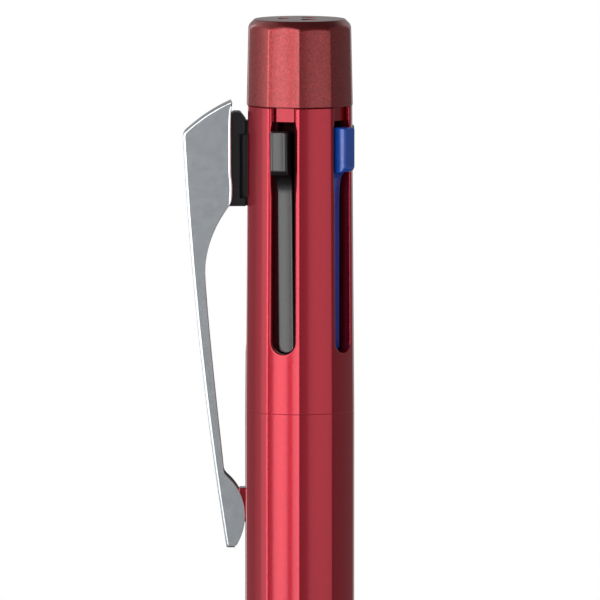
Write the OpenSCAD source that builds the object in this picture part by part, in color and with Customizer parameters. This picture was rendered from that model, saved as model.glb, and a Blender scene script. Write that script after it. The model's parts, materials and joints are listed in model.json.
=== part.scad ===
// Multicolour pen with four ink sliders and a pencil on its sliding clip.
// Millimetres. The pen stands upright on +Z, with the origin on its axis at the mouth of
// the nose. The clip is on the -X side, and azimuth angles are counted from +X.

/* [Lengths] */
// Length of the nose cone
nose_len = 22; // [20:0.5:26]
// Length of the rubber grip
grip_len = 35; // [32:0.5:42]
// Length of the collar between grip and rear barrel
collar_len = 3; // [2:0.5:6]
// Length of the slotted rear barrel
rear_len = 78.1; // [76:0.1:86]
// Height of the crown
crown_h = 9.9; // [9.4:0.1:12]

/* [Barrel] */
// Width of the barrel across its flats
barrel_flats = 12.3; // [12:0.1:13.6]
// Barrel wall at the middle of a flat
barrel_wall = 0.95; // [0.8:0.05:1.05]
// Width of a slot
slot_w = 2.95; // [2.8:0.05:3.1]
// Length of a slot below the crown
slot_len = 28.4; // [27:0.1:29.5]
// Length of the spigot that joins the two halves
spigot_len = 8.5; // [6:0.5:10]
// Height of the keys that close the slots under the crown
key_h = 1.6; // [1.2:0.1:2]
// Width of a key
key_w = 2.1; // [1.6:0.1:2.4]

/* [Crown and eraser] */
// Width of the crown across its flats
crown_flats = 12.2; // [12:0.1:13.4]
// Chamfer round the top of the crown
crown_chamfer = 0.8; // [0.4:0.1:1.2]
// Radius of the eraser
eraser_r = 2.4; // [2:0.1:2.5]
// Length of the post that the crown grips
post_len = 5; // [4:0.5:5.5]
// Radius of a vent hole in the crown
vent_r = 0.7; // [0.4:0.1:0.9]

/* [Sliders] */
// Width of a knob
knob_w = 2.25; // [1.8:0.05:2.4]
// Height of a knob
knob_h = 5.1; // [4:0.1:5.6]
// How far a knob stands proud of its flat
knob_proud = 0.85; // [0.5:0.05:1.4]
// Width of a slider leg
leg_w = 1.75; // [1.4:0.05:1.9]
// Radial thickness of a slider leg
leg_t = 1.7; // [1.4:0.1:1.9]
// Length of the guide that the legs run in
guide_len = 32.4; // [28:0.1:34]

/* [Refills] */
// Radius of a refill tube
tube_r = 1.15; // [0.9:0.05:1.2]
// Radius of a writing point
point_r = 0.4; // [0.35:0.05:0.5]
// Straight length of a writing point
point_len = 5; // [4.5:0.5:7]
// How far a point comes out of the mouth
point_out = 3; // [2:0.5:3.5]
// Length over which a tip leans in to the mouth
tip_lean_len = 11; // [10:0.5:12]
// Length over which a tube leans in below the spring seat
tube_lean_len = 25; // [20:1:28]
// Radius of a return spring, outside
spring_r = 1.6; // [1.45:0.05:1.65]
// Wire of a return spring
spring_wire = 0.25; // [0.15:0.05:0.25]
// Thickness of the spring seat
seat_t = 3; // [2:0.5:5]

/* [Grip and nose] */
// Wall of the front barrel
front_wall = 0.7; // [0.6:0.05:0.9]
// Thickness of the grip at the nose
grip_t = 0.8; // [0.6:0.1:1]
// Number of ring grooves in the grip
groove_n = 11; // [0:1:12]
// Depth of a ring groove
groove_d = 0.35; // [0.1:0.05:0.45]
// Outward bow of the nose's side
nose_bow = 0.9; // [0.7:0.1:1.2]
// Length of the thread between nose and front barrel
thread_len = 5; // [4:0.5:6]

/* [Clip] */
// Width of the clip
clip_w = 4.2; // [4:0.1:5]
// Thickness of the clip's sheet
sheet = 0.4; // [0.35:0.05:0.45]
// Length of the clip from its roof to its foot
clip_len = 51.4; // [50:0.1:56]
// How far the clip's shoulder stands out from the flat
clip_reach = 7.24; // [7:0.1:8]
// How far the clip's roof rises above the barrel's top
roof_rise = 0.55; // [0.3:0.05:1.1]
// Outward bow of the clip's web
web_bow = 0.6; // [0.3:0.1:1]
// Gap between the foot and the barrel's flat
foot_gap = 0.18; // [0.12:0.02:0.5]
// Distance of the pivot from the flat
pivot_out = 3.45; // [3.3:0.05:3.7]
// Distance of the pivot below the barrel's top
pivot_drop = 7.6; // [7.4:0.1:8]
// Radius of the pivot pin
pin_r = 0.6; // [0.5:0.05:0.65]

/* [Clearances] */
// Running gap round a slider leg
leg_gap = 0.15; // [0.1:0.01:0.2]
// Gap between neighbouring refills in the nose
bundle_gap = 0.2; // [0.16:0.02:0.3]
// Gap between the bundle of refills and the wall round it
wall_gap = 0.3; // [0.2:0.05:0.35]
// Radial gap of pieces that are pushed together
seat_gap = 0.03; // [0.01:0.01:0.04]
// Radial gap of pieces that are pulled apart by hand
hand_gap = 0.06; // [0.05:0.01:0.1]
// Gap between the bundle of points and the mouth
mouth_gap = 0.15; // [0.1:0.01:0.2]
// End gap of a slider under its stop
stop_gap = 0.1; // [0.05:0.05:0.2]

/* [Hidden] */
$fn = 48;
// cut overrun, so that no two faces of a cut lie together
e = 0.05;

// Azimuth of each slot, 72 degrees apart
sides = 10;
clip_az = 180;
black_az = 252;
blue_az = 324;
green_az = 36;
red_az = 108;
slot_azimuths = [clip_az, black_az, blue_az, green_az, red_az];

// Heights of the shells, from the mouth up
z_grip = nose_len;
z_collar = z_grip + grip_len;
z_rear = z_collar + collar_len;
z_top = z_rear + rear_len;
z_end = z_top + crown_h;

// Radii of the barrel
flat = barrel_flats / 2;
corner_r = flat / cos(180 / sides);
bore_r = flat - barrel_wall;
ledge = 0.2;
seat_bore_r = bore_r + ledge;

// Heights of the slider train, from the crown down
z_key = z_top - key_h;
leg_top = z_key - stop_gap;
knob_drop = 0.8;
knob_top = leg_top - knob_drop;
knob_bot = knob_top - knob_h;
neck_len = 3.3;
neck_bot = knob_bot - neck_len;
slot_bot = z_top - slot_len;
slot_end_gap = 1.5;
travel = neck_bot - slot_bot - slot_end_gap;
z_guide = z_key - guide_len;
collar_h = 3.8;
leg_foot = z_guide - wall_gap;
leg_root = 1;
spring_top = leg_foot - collar_h;

// Radii of the slider train
leg_inset = 0.2;
leg_r1 = bore_r - leg_inset;
leg_r0 = leg_r1 - leg_t;
channel_r = leg_r0 - leg_gap;
spring_gap = 0.2;
ring_r = bore_r - spring_r - spring_gap;
knob_r = flat + knob_proud;
knob_bevel = 0.3;
// how far a neck is sunk in its leg, and the least radius of what is wider than a leg
root_lap = 0.3;
slot_floor_r = bore_r + leg_gap;

// Spring seat, under the ledge of the rear barrel's bore
spigot_end_gap = 0.5;
z_seat = z_rear + spigot_len + spigot_end_gap;
seat_top = z_seat + seat_t;

// Refill bundle: neighbours lie 72 degrees apart on each ring
half_pitch = 36;
tube_ring = (tube_r + bundle_gap / 2) / sin(half_pitch);
point_ring = (point_r + bundle_gap / 2) / sin(half_pitch);
z_point = travel - point_out;
z_lean = z_point + point_len;
z_tube = z_lean + tip_lean_len;
z_bend = z_seat - tube_lean_len;
plug_r = 0.75;
plug_len = 4;

// Pencil clutch, in the lower end of the pencil's tube
lead_r = 0.25;
lead_out = 0.5;
clutch_wall = 0.2;
clutch_ring_len = 1.2;
jaw_len = 2;
chuck_spring_len = 4.5;
clutch_len = 8;
clutch_lip = 0.5;
clutch_bore_r = tube_r - clutch_wall;
z_clutch = z_tube + plug_len + clutch_lip;

// Nose and front barrel
mouth_len = point_len - point_out;
mouth_r = point_ring + point_r + mouth_gap;
mouth_rim = 0.5;
bundle_r = tube_ring + tube_r + wall_gap;
z_bundle = mouth_len + tip_lean_len;
thread_r = bundle_r + front_wall;
nose_wall = 1;
nose_r = thread_r + nose_wall;
z_thread = nose_len - thread_len;
thread_step = 0.25;
front_r = thread_r + thread_step;
wide_gap = 0.25;
wide_bore_r = ring_r + tube_r + wide_gap;
bend_room = 1;
z_narrow = z_bend - travel;
z_wide = z_seat - travel + bend_room;
upper_wall = 0.6;
collar_r = wide_bore_r + upper_wall;
grip_inset = 0.05;
grip_top_r = flat - grip_inset;
groove_w = 0.9;
groove_margin = 4;

// Crown and eraser
post_wall = 0.85;
post_r = eraser_r + post_wall;
holder_plug_len = 4;
flange_h = 1.1;
flange_out = 0.6;
flange_r = post_r + flange_out;
eraser_foot = z_top - stop_gap;
eraser_room = 2;
eraser_top = z_end - eraser_room;
eraser_side_gap = 0.3;
crown_roof = 1.2;
vent_ring = 1.7;
vent_azimuths = [60, 180, 300];

// Clip outline: how far each point stands out from the flat, and its drop below the
// barrel's top or its rise above the clip's foot
roof_out = 1.78;
roof_bow = 0.3;
shoulder_in = 0.04;
shoulder_drop = 3.2;
web_drop = 3.9;
foot_out = 2.35;
foot_round = 0.45;
foot_bevel = 0.15;
foot_bow_r = 6.2;
foot_rise = 3.75;
arm_out = 2.5;
arm_rise = 8.4;
throat_out = 4.65;
throat_drop = 22.3;
throat_pull = [0.45, 4.6];
lobe_out = 1.5;
lobe_drop = 10.8;
lobe_pull = [1.4, -2.2];
lobe_h = 1.7;
waist_out = 1.65;
waist_drop = 6.3;
brow_out = 1.68;
brow_drop = 1;
z_foot = z_top + roof_rise - clip_len;
pivot = [flat + pivot_out, z_top - pivot_drop];
roof_tip = [flat + roof_out, z_top + roof_rise];
shoulder = [flat + clip_reach - shoulder_in, z_top - shoulder_drop];
web_top = [flat + clip_reach, z_top - web_drop];
web_foot = [flat + foot_out, z_foot + foot_round];
foot_mid = [flat + foot_gap + foot_bow_r, z_foot + foot_rise];
arm_in = [flat + arm_out, z_foot + arm_rise];
throat = [flat + throat_out, z_top - throat_drop];
lobe = [flat + lobe_out, z_top - lobe_drop];
waist = [flat + waist_out, z_top - waist_drop];
brow = [flat + brow_out, z_top - brow_drop];
clip_in_w = clip_w - 2 * sheet;
base_side_gap = 0.1;
base_w = clip_in_w - 2 * base_side_gap;

// Clip base: its block stands out from the flat between the clip's two walls
base_gap = 0.3;
shelf_out = 0.7;
block_out = 4.65;
block_drop = 0.75;
block_step = 1;
panel_drop = 3.25;
panel_h = 7.35;
lip_h = 0.8;
base_in = flat + stop_gap;
base_shelf = flat + shelf_out;
base_out = flat + block_out;
base_top = z_top - block_drop;
panel_top = z_top - panel_drop;
panel_bot = panel_top - panel_h;
base_bot = panel_bot - lip_h;

// Closing spring of the clip, in a pocket above the pivot
pocket_r = 1.1;
pocket_lip = 0.5;
pocket_out = 2.3;
pocket_gap = 0.7;
clip_spring_r = 0.7;
web_gap = 0.12;
pocket_z = pivot[1] + pin_r + pocket_r + pocket_lip;
pocket_floor = flat + pocket_out;
spring_end = pocket_floor + pocket_gap;
dimple = sheet / 2;

// Colours, as the photo shows them
red_paint = [0.71, 0.13, 0.20];
crown_red = [0.58, 0.24, 0.25];
steel = [0.72, 0.74, 0.76];
black_plastic = [0.12, 0.12, 0.13];
blue_plastic = [0.05, 0.24, 0.62];
green_plastic = [0.06, 0.45, 0.25];
red_plastic = [0.80, 0.10, 0.12];
clear_plastic = [0.88, 0.90, 0.90];
white_rubber = [0.95, 0.95, 0.93];
brass = [0.80, 0.66, 0.36];
graphite = [0.22, 0.22, 0.24];

// Points along a circle's arc
function arc(c, r, a0, a1, n) =
    [for (i = [0:n]) let (a = a0 + (a1 - a0) * i / n) c + r * [cos(a), sin(a)]];

// Points along a line from p to q that bows to its left by bow at the middle
function bowed(p, q, bow, n) =
    let (d = q - p, side = [-d[1], d[0]] / norm(d))
    [for (i = [0:n]) let (t = i / n) p + d * t + side * 4 * bow * t * (1 - t)];

// Points along a cubic curve from p to s
function curve(p, q, r, s, n) =
    [for (i = [0:n]) let (t = i / n, u = 1 - t)
        u * u * u * p + 3 * u * u * t * q + 3 * u * t * t * r + t * t * t * s];

// Turns a radial outline (out, up) into a plate of width w across the radius
module plate(w) {
    rotate([90, 0, 0])
        linear_extrude(height = w, center = true)
            children();
}

// Places a radial piece at an azimuth
module at(azimuth) {
    rotate([0, 0, azimuth])
        children();
}

// Ten-sided bar with an edge facing the viewer and a flat facing the clip
module decagon_bar(flats, h) {
    rotate([0, 0, 180 / sides])
        cylinder(r = flats / 2 / cos(180 / sides), h = h, $fn = sides);
}

// Round rod from p to q, both (out, up), with radii r and s
module lean_rod(p, q, r, s) {
    d = q - p;
    translate([p[0], 0, p[1]])
        rotate([0, 90 - atan2(d[1], d[0]), 0])
            cylinder(r1 = r, r2 = s, h = norm(d));
}

module ring(r_out, r_in, h) {
    difference() {
        cylinder(r = r_out, h = h);
        translate([0, 0, -e])
            cylinder(r = r_in, h = h + 2 * e);
    }
}

// One slot, open at the top and round at the bottom
module slot() {
    r_end = slot_w / 2;
    depth = corner_r + e - bore_r / 2;
    translate([bore_r / 2, -r_end, slot_bot + r_end])
        cube([depth, slot_w, slot_len]);
    translate([bore_r / 2, 0, slot_bot + r_end])
        rotate([0, 90, 0])
            cylinder(r = r_end, h = depth);
}

// Small wedge on the barrel inside the clip's channel, under its foot
module clip_ramp() {
    ramp_w = 2;
    ramp_rise = 3;
    ramp_len = 4.1;
    ramp_out = 0.85;
    ramp_flat = 1.3;
    ramp_round = 0.15;
    ramp_top = foot_mid[1] + ramp_rise;
    sunk = barrel_wall / 2;
    plate(ramp_w)
        polygon([
            [flat - sunk, ramp_top],
            [flat + ramp_out - ramp_round, ramp_top],
            [flat + ramp_out, ramp_top - 2 * ramp_round],
            [flat + ramp_out - ramp_round, ramp_top - 2 * ramp_round - ramp_flat],
            [flat, ramp_top - ramp_len],
            [flat - sunk, ramp_top - ramp_len]
        ]);
}

module rear_barrel() {
    color(red_paint)
        difference() {
            union() {
                translate([0, 0, z_rear])
                    decagon_bar(barrel_flats, rear_len);
                at(clip_az)
                    clip_ramp();
            }
            translate([0, 0, z_rear - e])
                cylinder(r = bore_r, h = rear_len + 2 * e);
            translate([0, 0, z_rear - e])
                cylinder(r = seat_bore_r, h = seat_top - z_rear + e);
            for (az = slot_azimuths)
                at(az)
                    slot();
        }
}

module stop_ring() {
    key_out = 0.15;
    key_lap = 0.4;
    key_root = flange_r + key_lap;
    key_r = bore_r + key_out;
    color(red_paint)
        translate([0, 0, z_key])
            difference() {
                union() {
                    cylinder(r = bore_r - seat_gap, h = key_h);
                    for (az = slot_azimuths)
                        at(az)
                            translate([key_root, -key_w / 2, 0])
                                cube([key_r - key_root, key_w, key_h]);
                }
                translate([0, 0, -e])
                    cylinder(r = flange_r + seat_gap, h = key_h + 2 * e);
            }
}

module slider_guide() {
    channel_w = leg_w + 2 * leg_gap;
    color(black_plastic)
        difference() {
            translate([0, 0, z_guide])
                cylinder(r = bore_r - seat_gap, h = guide_len);
            for (az = slot_azimuths)
                at(az)
                    translate([channel_r, -channel_w / 2, z_guide - e])
                        cube([bore_r, channel_w, guide_len + 2 * e]);
            translate([0, 0, z_key - holder_plug_len - stop_gap])
                cylinder(r = eraser_r + seat_gap, h = holder_plug_len + stop_gap + e);
        }
}

module spring_seat() {
    color(black_plastic)
        difference() {
            translate([0, 0, z_seat])
                cylinder(r = seat_bore_r - seat_gap, h = seat_t);
            for (az = slot_azimuths)
                at(az)
                    translate([ring_r, 0, z_seat - e])
                        cylinder(r = tube_r + leg_gap, h = seat_t + 2 * e);
        }
}

module eraser_holder() {
    color(clear_plastic)
        difference() {
            union() {
                translate([0, 0, z_key - holder_plug_len])
                    cylinder(r = eraser_r, h = holder_plug_len + e);
                translate([0, 0, z_key])
                    cylinder(r = flange_r, h = flange_h);
                translate([0, 0, z_key + e])
                    cylinder(r = post_r, h = key_h + post_len - e);
            }
            translate([0, 0, eraser_foot])
                cylinder(r = eraser_r + seat_gap, h = post_len + key_h);
        }
}

module eraser() {
    bevel = 0.3;
    color(white_rubber)
        translate([0, 0, eraser_foot])
            rotate_extrude()
                polygon([
                    [0, 0],
                    [eraser_r, 0],
                    [eraser_r, eraser_top - eraser_foot - bevel],
                    [eraser_r - bevel, eraser_top - eraser_foot],
                    [0, eraser_top - eraser_foot]
                ]);
}

module crown() {
    crown_r = crown_flats / 2 / cos(180 / sides);
    color(crown_red)
        difference() {
            intersection() {
                translate([0, 0, z_top])
                    decagon_bar(crown_flats, crown_h);
                translate([0, 0, z_top])
                    rotate_extrude()
                        polygon([
                            [0, -e],
                            [crown_r + e, -e],
                            [crown_r + e, crown_h - crown_chamfer - e],
                            [crown_r - crown_chamfer, crown_h],
                            [0, crown_h]
                        ]);
            }
            translate([0, 0, z_top - e])
                cylinder(r = post_r + hand_gap, h = post_len + 2 * hand_gap + e);
            translate([0, 0, z_top])
                cylinder(r = eraser_r + eraser_side_gap, h = crown_h - crown_roof);
            for (az = vent_azimuths)
                at(az)
                    translate([vent_ring, 0, z_top + crown_h / 2])
                        cylinder(r = vent_r, h = crown_h);
        }
}

module front_barrel() {
    color(red_paint)
        difference() {
            union() {
                translate([0, 0, z_collar])
                    decagon_bar(barrel_flats, collar_len);
                rotate_extrude()
                    polygon([
                        [0, z_thread],
                        [thread_r, z_thread],
                        [thread_r, z_grip],
                        [front_r, z_grip],
                        [front_r, z_narrow],
                        [collar_r, z_wide],
                        [collar_r, z_collar + e],
                        [seat_bore_r - hand_gap, z_collar + e],
                        [seat_bore_r - hand_gap, z_rear + spigot_len],
                        [0, z_rear + spigot_len]
                    ]);
            }
            rotate_extrude()
                polygon([
                    [0, z_thread - e],
                    [bundle_r, z_thread - e],
                    [bundle_r, z_narrow],
                    [wide_bore_r, z_wide],
                    [wide_bore_r, z_rear + spigot_len + e],
                    [0, z_rear + spigot_len + e]
                ]);
        }
}

// Ring grooves, from just above the nose to just below the collar
module grip_grooves() {
    first = z_grip + groove_margin;
    pitch = (grip_len - 2 * groove_margin) / max(groove_n - 1, 1);
    for (i = [0:1:groove_n - 1])
        translate([0, 0, first + i * pitch - groove_w / 2])
            difference() {
                cylinder(r = corner_r, h = groove_w);
                translate([0, 0, -e])
                    cylinder(r = grip_r(first + i * pitch) - groove_d, h = groove_w + 2 * e);
            }
}

// Outside radius of the grip at a height
function grip_r(z) =
    let (low = front_r + grip_t)
    low + (grip_top_r - low) * (z - z_grip) / grip_len;

module grip() {
    color(crown_red)
        difference() {
            rotate_extrude()
                polygon([
                    [front_r + seat_gap, z_grip],
                    [grip_r(z_grip), z_grip],
                    [grip_r(z_collar), z_collar],
                    [collar_r + seat_gap, z_collar],
                    [collar_r + seat_gap, z_wide],
                    [front_r + seat_gap, z_narrow]
                ]);
            grip_grooves();
        }
}

module nose_cone() {
    color(steel)
        rotate_extrude()
            polygon(concat(
                [[mouth_r, mouth_len], [mouth_r, 0]],
                bowed([mouth_r + mouth_rim, 0], [nose_r, nose_len], -nose_bow, 10),
                [
                    [thread_r + seat_gap, nose_len],
                    [thread_r + seat_gap, z_thread - stop_gap],
                    [bundle_r, z_thread - stop_gap],
                    [bundle_r, z_bundle]
                ]
            ));
}

// Leg, spring collar and refill plug that every slider has
module slider_train() {
    translate([leg_r0, -leg_w / 2, leg_foot - leg_root])
        cube([leg_t, leg_w, leg_top - leg_foot + leg_root]);
    translate([ring_r, 0, spring_top])
        cylinder(r = spring_r, h = collar_h);
    translate([ring_r, 0, spring_top - plug_len])
        cylinder(r = plug_r, h = plug_len + e);
}

// Knob outside the barrel, on a neck as narrow as the leg that sweeps down into it
module slider_knob() {
    root_r = leg_r1 - root_lap;
    plate(leg_w)
        polygon(concat(
            [[root_r, knob_top], [knob_r - knob_bevel, knob_top]],
            curve(
                [knob_r - knob_bevel, knob_bot],
                [flat, knob_bot - neck_len * 0.06],
                [leg_r1 + (flat - leg_r1) / 2, knob_bot - neck_len / 4],
                [leg_r1, neck_bot],
                5
            ),
            [[root_r, neck_bot]]
        ));
    plate(knob_w)
        polygon([
            [slot_floor_r, knob_top],
            [knob_r - knob_bevel, knob_top],
            [knob_r, knob_top - knob_bevel],
            [knob_r, knob_bot + knob_bevel],
            [knob_r - knob_bevel, knob_bot],
            [slot_floor_r, knob_bot]
        ]);
}

module colour_slider(az) {
    at(az) {
        slider_train();
        slider_knob();
    }
}

// Refill tube: upright in the guide, leaning in below the seat, upright in the nose
module refill_tube(az) {
    lap = 0.4;
    bend_step = 0.03;
    lean_r = tube_r - bend_step;
    at(az)
        difference() {
            union() {
                translate([ring_r, 0, z_seat])
                    cylinder(r = tube_r, h = spring_top - z_seat);
                lean_rod([ring_r, z_seat + lap], [tube_ring, z_bend - lap], lean_r, lean_r);
                translate([tube_ring, 0, z_tube])
                    cylinder(r = tube_r, h = z_bend - z_tube);
            }
            translate([ring_r, 0, spring_top - plug_len - stop_gap])
                cylinder(r = plug_r + seat_gap, h = plug_len + stop_gap + e);
            translate([tube_ring, 0, z_tube - e])
                cylinder(r = plug_r + seat_gap, h = plug_len + stop_gap + e);
        }
}

// Metal tip: point at the mouth, cone that leans out, plug in the tube
module refill_tip_solid() {
    tip_step = 0.1;
    point_step = 0.05;
    tip_gap = 0.2;
    plug_root = 1;
    translate([point_ring, 0, z_point + point_r])
        cylinder(r = point_r, h = point_len - point_r + e);
    translate([point_ring, 0, z_point])
        cylinder(r1 = point_r / 2, r2 = point_r, h = point_r);
    lean_rod(
        [point_ring, z_lean],
        [tube_ring, z_tube - tip_gap],
        point_r + point_step,
        tube_r - tip_step
    );
    translate([tube_ring, 0, z_tube - plug_root])
        cylinder(r = plug_r, h = plug_len + plug_root);
}

module refill_tip(az) {
    color(brass)
        at(az)
            refill_tip_solid();
}

module return_spring(az) {
    color(steel)
        at(az)
            translate([ring_r, 0, seat_top])
                ring(spring_r, spring_r - spring_wire, spring_top - seat_top);
}

module black_slider() { color(black_plastic) colour_slider(black_az); }
module blue_slider() { color(blue_plastic) colour_slider(blue_az); }
module green_slider() { color(green_plastic) colour_slider(green_az); }
module red_slider() { color(red_plastic) colour_slider(red_az); }

module black_refill_tube() { color(black_plastic) refill_tube(black_az); }
module blue_refill_tube() { color(blue_plastic) refill_tube(blue_az); }
module green_refill_tube() { color(green_plastic) refill_tube(green_az); }
module red_refill_tube() { color(red_plastic) refill_tube(red_az); }

module clip_base() {
    neck_w = slot_w - 2 * base_gap;
    color(black_plastic)
        at(clip_az)
            difference() {
                union() {
                    slider_train();
                    plate(base_w)
                        polygon([
                            [base_in, panel_top],
                            [base_in, base_top - block_step],
                            [base_shelf, base_top],
                            [lobe[0], base_top],
                            [lobe[0] + block_step / 2, base_top - block_step * 1.4],
                            [base_out, base_top - block_step * 2.4],
                            [base_out, base_bot + block_step / 2],
                            [base_shelf + block_step / 2, base_bot],
                            [base_in, base_bot],
                            [base_in, panel_bot],
                            [base_shelf, panel_bot],
                            [base_shelf, panel_top]
                        ]);
                    translate([leg_r1 - root_lap, -leg_w / 2, panel_bot])
                        cube([base_shelf - leg_r1 + 2 * root_lap, leg_w, panel_h]);
                    translate([slot_floor_r, -neck_w / 2, panel_bot])
                        cube([base_shelf - slot_floor_r + root_lap, neck_w, panel_h]);
                }
                translate([pivot[0], 0, pivot[1]])
                    rotate([90, 0, 0])
                        cylinder(r = pin_r + seat_gap, h = clip_w, center = true);
                translate([pocket_floor, 0, pocket_z])
                    rotate([0, 90, 0])
                        cylinder(r = pocket_r, h = clip_reach);
            }
}

module clip_pin() {
    color(steel)
        at(clip_az)
            translate([pivot[0], 0, pivot[1]])
                rotate([90, 0, 0])
                    cylinder(r = pin_r, h = clip_in_w + 2 * dimple - stop_gap, center = true);
}

// Closing spring between the web and the pocket in the base
module clip_spring() {
    web_in = web_top[0] - sheet - web_gap;
    color(steel)
        at(clip_az)
            translate([spring_end, 0, pocket_z])
                rotate([0, 90, 0])
                    ring(clip_spring_r, clip_spring_r - spring_wire, web_in - spring_end);
}

// Outer line of the clip, roof tip to foot, set in by a distance
function clip_outer(inset) =
    concat(
        bowed(roof_tip - [0, inset], shoulder - [inset, inset] * 0.7, roof_bow, 5),
        bowed(web_top - [inset, 0], web_foot - [inset, 0], web_bow, 10)
    );

// Pressed steel lever: a roof and a web between two side walls, with the pin's dimples
module clip() {
    foot_up = asin((arm_in[1] - foot_mid[1]) / foot_bow_r);
    foot_down = asin((foot_mid[1] - z_foot) / foot_bow_r);
    past = 1;
    color(steel)
        at(clip_az)
            difference() {
                plate(clip_w)
                    polygon(concat(
                        clip_outer(0),
                        [[web_foot[0] - foot_bevel, z_foot]],
                        arc(foot_mid, foot_bow_r, 180 + foot_down, 180 - foot_up, 8),
                        curve(throat, throat + throat_pull, lobe + lobe_pull, lobe, 6),
                        [lobe + [0, lobe_h], waist, brow]
                    ));
                plate(clip_in_w)
                    polygon(concat(
                        clip_outer(sheet),
                        [
                            [web_foot[0] - sheet, z_foot - past],
                            [flat - past, z_foot - past],
                            [flat - past, roof_tip[1] - sheet]
                        ]
                    ));
                translate([pivot[0], 0, pivot[1]])
                    rotate([90, 0, 0])
                        cylinder(r = pin_r + seat_gap, h = clip_in_w + 2 * dimple, center = true);
            }
}

module pencil_tube() {
    color(clear_plastic)
        difference() {
            refill_tube(clip_az);
            at(clip_az)
                translate([tube_ring, 0, z_clutch])
                    cylinder(r = clutch_bore_r, h = clutch_len);
        }
}

module pencil_tip() {
    color(steel)
        difference() {
            at(clip_az)
                refill_tip_solid();
            at(clip_az)
                translate([point_ring, 0, z_point - e])
                    cylinder(r = lead_r + seat_gap, h = point_len);
        }
}

module lead() {
    color(graphite)
        at(clip_az)
            translate([point_ring, 0, z_point - lead_out])
                cylinder(r = lead_r, h = point_len);
}

// Jaws that grip the lead, on a stem that the chuck spring stands round
module pencil_chuck() {
    jaw_gap = 0.25;
    stem_gap = 0.4;
    end_room = 1;
    stem_len = clutch_len - jaw_len - end_room;
    color(brass)
        at(clip_az)
            translate([tube_ring, 0, z_clutch + stop_gap]) {
                ring(clutch_bore_r - jaw_gap, lead_r + seat_gap, jaw_len + e);
                translate([0, 0, jaw_len])
                    ring(clutch_bore_r - stem_gap, lead_r + seat_gap, stem_len);
            }
}

module clutch_ring() {
    color(brass)
        at(clip_az)
            translate([tube_ring, 0, z_clutch])
                ring(clutch_bore_r - seat_gap, clutch_bore_r - clutch_wall, clutch_ring_len);
}

module chuck_spring() {
    jaw_room = 0.5;
    z_spring = z_clutch + jaw_len + jaw_room;
    color(steel)
        at(clip_az)
            translate([tube_ring, 0, z_spring])
                ring(clutch_bore_r - seat_gap, clutch_bore_r - clutch_wall, chuck_spring_len);
}

rear_barrel();
stop_ring();
slider_guide();
spring_seat();
eraser_holder();
eraser();
crown();
front_barrel();
grip();
nose_cone();
black_slider();
black_refill_tube();
refill_tip(black_az);  // black_refill_tip
return_spring(black_az);  // black_return_spring
blue_slider();
blue_refill_tube();
refill_tip(blue_az);  // blue_refill_tip
return_spring(blue_az);  // blue_return_spring
green_slider();
green_refill_tube();
refill_tip(green_az);  // green_refill_tip
return_spring(green_az);  // green_return_spring
red_slider();
red_refill_tube();
refill_tip(red_az);  // red_refill_tip
return_spring(red_az);  // red_return_spring
clip_base();
clip_pin();
clip_spring();
clip();
pencil_tube();
pencil_tip();
pencil_chuck();
clutch_ring();
chuck_spring();
lead();
return_spring(clip_az);  // pencil_return_spring
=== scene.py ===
"""Looks of the multicolour pen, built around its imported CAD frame.

Shapes are written in millimetres, in the CAD frame: the pen stands on +Z with its axis on
the origin, the clip is on -X, and the photograph looks along +Y. Azimuths are in degrees
from +X, and profiles are points (distance out, height).
"""

import json
import math

import bpy
import bmesh
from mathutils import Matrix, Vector


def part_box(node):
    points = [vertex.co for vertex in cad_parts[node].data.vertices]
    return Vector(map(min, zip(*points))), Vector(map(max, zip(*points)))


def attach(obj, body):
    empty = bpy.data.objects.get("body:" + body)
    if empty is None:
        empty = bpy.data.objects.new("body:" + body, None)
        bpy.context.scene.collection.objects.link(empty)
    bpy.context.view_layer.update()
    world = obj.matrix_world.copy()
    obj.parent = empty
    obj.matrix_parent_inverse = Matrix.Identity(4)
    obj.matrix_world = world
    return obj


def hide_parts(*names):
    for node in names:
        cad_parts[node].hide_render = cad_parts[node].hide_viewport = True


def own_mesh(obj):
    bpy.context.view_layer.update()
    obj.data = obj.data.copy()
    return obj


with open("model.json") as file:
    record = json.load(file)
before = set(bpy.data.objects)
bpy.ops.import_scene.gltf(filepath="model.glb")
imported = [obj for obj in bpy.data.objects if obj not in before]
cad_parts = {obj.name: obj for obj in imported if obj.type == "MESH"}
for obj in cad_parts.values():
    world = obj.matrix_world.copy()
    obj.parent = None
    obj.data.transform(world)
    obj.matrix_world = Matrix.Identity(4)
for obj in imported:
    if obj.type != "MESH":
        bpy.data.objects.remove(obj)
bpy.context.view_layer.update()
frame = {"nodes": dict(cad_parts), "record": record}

MM = 0.001
NODES = frame["nodes"]
SLOTS = {part["node"]: part["material_slot"] for part in frame["record"]["subparts"]}


def extent(node, axis):
    """Where a CAD node begins and ends along an axis, in millimetres."""
    return [round(corner[axis] / MM, 3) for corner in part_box(node)]


# Sizes of the CAD model: those that its nodes' boxes give, and then those that no box shows
FLAT = extent("rear_barrel", 0)[1]
RING_R = -sum(extent("pencil_return_spring", 0)) / 2
Z_THREAD, Z_SPIGOT = extent("front_barrel", 2)
Z_NOSE_TOP, Z_COLLAR = extent("grip", 2)
Z_REAR, Z_TOP = extent("rear_barrel", 2)
Z_SEAT_TOP, Z_SPRING_TOP = extent("pencil_return_spring", 2)
Z_PLUG = extent("clip_base", 2)[0]
Z_END = extent("crown", 2)[1]
FLATS = 10
FACET_TURN = 360 // FLATS
HALF_FACET = math.radians(180 / FLATS)
BORE, SEAT_BORE = 5.2, 5.4
LEG_IN, LEG_OUT = 3.3, 5.0
Z_NARROW, Z_WIDE = 28.0, 54.0
CLIP_AZIMUTH = 180
SLIDERS = {"black": 252, "blue": 324, "green": 36, "red": 108}
SLOT_AZIMUTHS = (CLIP_AZIMUTH, *SLIDERS.values())

# Sizes of the slots' visible edges, a little inside the CAD's
SLOT_HALF = 1.44
SLOT_BOTTOM = 109.85
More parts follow.
